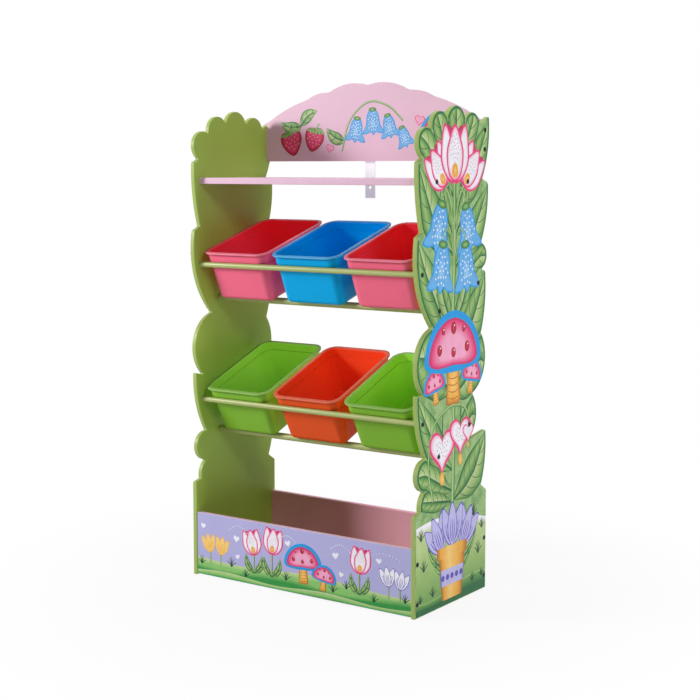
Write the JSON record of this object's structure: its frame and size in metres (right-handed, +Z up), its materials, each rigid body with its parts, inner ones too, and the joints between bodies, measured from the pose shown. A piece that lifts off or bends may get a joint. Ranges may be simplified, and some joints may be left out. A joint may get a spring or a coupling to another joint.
{
  "type": "toy organiser",
  "caption": "Child's toy organiser with lobed side panels, a top shelf, tilted lift-out bins on dowel rails and an open toy box at the base.",
  "frame": {"origin": "on the floor below the middle of the unit", "axes": "+Z up, the front looks towards -Y, +X to the right seen from the front"},
  "size_m": [0.6496, 0.312, 1.2028],
  "materials": {
    "panel_paint": "satin paint over smooth board",
    "pink_paint": "satin paint over smooth board",
    "lilac_paint": "satin paint over smooth board",
    "rail_paint": "satin paint over smooth board",
    "floor_board": "plain hardboard",
    "pink_plastic": "glossy moulded polypropylene",
    "blue_plastic": "glossy moulded polypropylene",
    "lime_plastic": "glossy moulded polypropylene",
    "orange_plastic": "glossy moulded polypropylene",
    "strap_plastic": "white strip",
    "bolt_steel": "blackened",
    "nut_steel": "zinc plated"
  },
  "bodies": {
    "frame": {"side_panel_left": "panel_paint", "side_panel_right": "panel_paint", "header_board": "pink_paint", "top_shelf": "pink_paint", "box_back_board": "pink_paint", "box_front_board": "lilac_paint", "box_floor": "floor_board", "wall_strap": "strap_plastic", "strap_screws": "nut_steel", "rail_bolts": "bolt_steel", "shelf_bolts": "bolt_steel", "header_bolts": "bolt_steel", "box_bolts": "bolt_steel", "rail_inserts": "nut_steel", "shelf_barrel_nuts": "nut_steel", "header_barrel_nuts": "nut_steel", "box_barrel_nuts": "nut_steel", "upper_front_rail": "rail_paint", "upper_bottom_rail": "rail_paint", "upper_rear_rail": "rail_paint", "lower_front_rail": "rail_paint", "lower_bottom_rail": "rail_paint", "lower_rear_rail": "rail_paint"},
    "bin_upper_left": {"bin_upper_left": "pink_plastic"},
    "bin_upper_middle": {"bin_upper_middle": "blue_plastic"},
    "bin_upper_right": {"bin_upper_right": "pink_plastic"},
    "bin_lower_left": {"bin_lower_left": "lime_plastic"},
    "bin_lower_middle": {"bin_lower_middle": "orange_plastic"},
    "bin_lower_right": {"bin_lower_right": "lime_plastic"}
  },
  "joints": [
    {"name": "bin_upper_left_lift", "type": "slide", "parent": "frame", "child": "bin_upper_left", "axis": [0, -0.2907, 0.9568], "range_m": [0, 0.08]},
    {"name": "bin_upper_middle_lift", "type": "slide", "parent": "frame", "child": "bin_upper_middle", "axis": [0, -0.2907, 0.9568], "range_m": [0, 0.08]},
    {"name": "bin_upper_right_lift", "type": "slide", "parent": "frame", "child": "bin_upper_right", "axis": [0, -0.2907, 0.9568], "range_m": [0, 0.08]},
    {"name": "bin_lower_left_lift", "type": "slide", "parent": "frame", "child": "bin_lower_left", "axis": [0, -0.3665, 0.9304], "range_m": [0, 0.12]},
    {"name": "bin_lower_middle_lift", "type": "slide", "parent": "frame", "child": "bin_lower_middle", "axis": [0, -0.3665, 0.9304], "range_m": [0, 0.12]},
    {"name": "bin_lower_right_lift", "type": "slide", "parent": "frame", "child": "bin_lower_right", "axis": [0, -0.3665, 0.9304], "range_m": [0, 0.12]}
  ]
}
